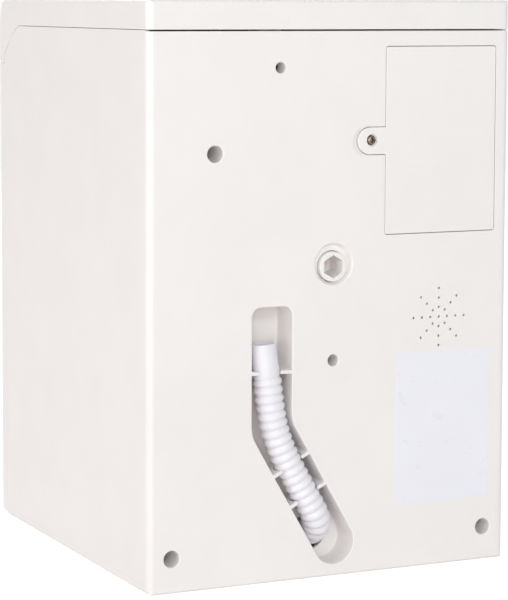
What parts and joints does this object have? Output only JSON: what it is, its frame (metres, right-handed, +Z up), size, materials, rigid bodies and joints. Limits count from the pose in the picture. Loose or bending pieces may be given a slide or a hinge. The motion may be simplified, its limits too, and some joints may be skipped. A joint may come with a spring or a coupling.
{
  "type": "toy washing machine",
  "caption": "Toy front-loading washing machine: boxy white case with a porthole door, a drum turned by gears, a slanted fascia, a battery compartment and a clipped drain hose in its back.",
  "frame": {"origin": "on the floor, under the middle of the whole toy from the door's crest to the hose", "axes": "+Z up, the porthole door faces -Y, the back with the hose recess faces +Y, and +X is the side seen in the picture"},
  "size_m": [0.181, 0.202, 0.26],
  "materials": {
    "case_white": "satin moulded styrene, faintly warm white",
    "hose_white": "soft polyethylene, cool white",
    "grey_plastic": "satin moulded plastic, light grey",
    "drum_silver": "silver-coloured plastic",
    "clear_plastic": "clear styrene",
    "seal_rubber": "matt grey rubber",
    "dark_plastic": "matt black",
    "gear_acetal": "ivory acetal",
    "steel": "zinc-plated",
    "brass": "turned",
    "board_green": "solder-masked laminate",
    "cell_jacket": "plain printed jacket, unlettered"
  },
  "bodies": {
    "housing": {"rear_housing": "case_white", "front_panel": "case_white", "top_cover": "case_white", "tub": "grey_plastic", "tub_bush": "brass", "door_seal": "seal_rubber", "idler_pin": "steel", "gear_plate": "grey_plastic", "motor": "steel", "battery_box": "grey_plastic", "battery_cell_1": "cell_jacket", "battery_cell_2": "cell_jacket", "battery_cell_3": "cell_jacket", "contact_strip_left": "steel", "contact_strip_right": "steel", "speaker": "dark_plastic", "control_board": "board_green", "button_pad": "seal_rubber", "dial_switch": "dark_plastic", "indicator_lens": "clear_plastic", "drawer_housing": "grey_plastic", "door_hinge_pin": "steel", "drain_hose": "hose_white", "lower_screw_left": "steel", "lower_screw_right": "steel", "upper_screw": "steel", "tub_screw": "steel", "lid_screw": "steel", "tub_ear_screw_1": "steel", "tub_ear_screw_2": "steel", "tub_ear_screw_3": "steel", "gear_plate_screw_1": "steel", "gear_plate_screw_2": "steel"},
    "door": {"door_frame": "case_white", "door_handle": "grey_plastic", "door_inner_ring": "grey_plastic", "door_window": "clear_plastic"},
    "drum_unit": {"drum": "drum_silver", "drum_shaft": "case_white", "drum_gear": "gear_acetal"},
    "idler": {"idler_gear": "gear_acetal"},
    "motor_rotor": {"motor_shaft": "steel", "motor_pinion": "brass"},
    "dial": {"program_dial": "grey_plastic"},
    "start_key": {"start_button": "grey_plastic"},
    "spin_key": {"spin_button": "grey_plastic"},
    "power_key": {"power_button": "grey_plastic"},
    "drawer": {"detergent_drawer": "case_white"},
    "battery_lid": {"battery_cover": "case_white", "battery_cover_screw": "steel"}
  },
  "joints": [
    {"name": "door_hinge", "type": "hinge", "parent": "housing", "child": "door", "pos_m": [-0.0665, -0.0966, 0.141], "axis": [0, 0, -1], "range_deg": [0, 110]},
    {"name": "drum_spin", "type": "hinge", "parent": "housing", "child": "drum_unit", "pos_m": [0, 0, 0.141], "axis": [0, 1, 0], "continuous": true},
    {"name": "idler_spin", "type": "hinge", "parent": "housing", "child": "idler", "pos_m": [0.02314, 0, 0.16858], "axis": [0, 1, 0], "continuous": true},
    {"name": "motor_spin", "type": "hinge", "parent": "housing", "child": "motor_rotor", "pos_m": [0.03792, 0, 0.1862], "axis": [0, 1, 0], "continuous": true},
    {"name": "dial_turn", "type": "hinge", "parent": "housing", "child": "dial", "pos_m": [-0.006, -0.09205, 0.24355], "axis": [0, -0.9532, 0.3024], "continuous": true},
    {"name": "start_press", "type": "slide", "parent": "housing", "child": "start_key", "axis": [0, 0.9532, -0.3024], "range_m": [0, 0.0015], "stiffness_N_per_m": 200},
    {"name": "spin_press", "type": "slide", "parent": "housing", "child": "spin_key", "axis": [0, 0.9532, -0.3024], "range_m": [0, 0.0015], "stiffness_N_per_m": 200},
    {"name": "power_press", "type": "slide", "parent": "housing", "child": "power_key", "axis": [0, 0.9532, -0.3024], "range_m": [0, 0.0015], "stiffness_N_per_m": 200},
    {"name": "drawer_slide", "type": "slide", "parent": "housing", "child": "drawer", "axis": [0, -1, 0], "range_m": [0, 0.035]},
    {"name": "battery_cover_hinge", "type": "hinge", "parent": "housing", "child": "battery_lid", "pos_m": [-0.083, 0.099, 0.197], "axis": [0, 0, 1], "range_deg": [0, 95]}
  ],
  "couplings": [
    {"joint": "idler_spin", "follows": "drum_spin", "ratio": -5},
    {"joint": "motor_spin", "follows": "drum_spin", "ratio": 18}
  ]
}
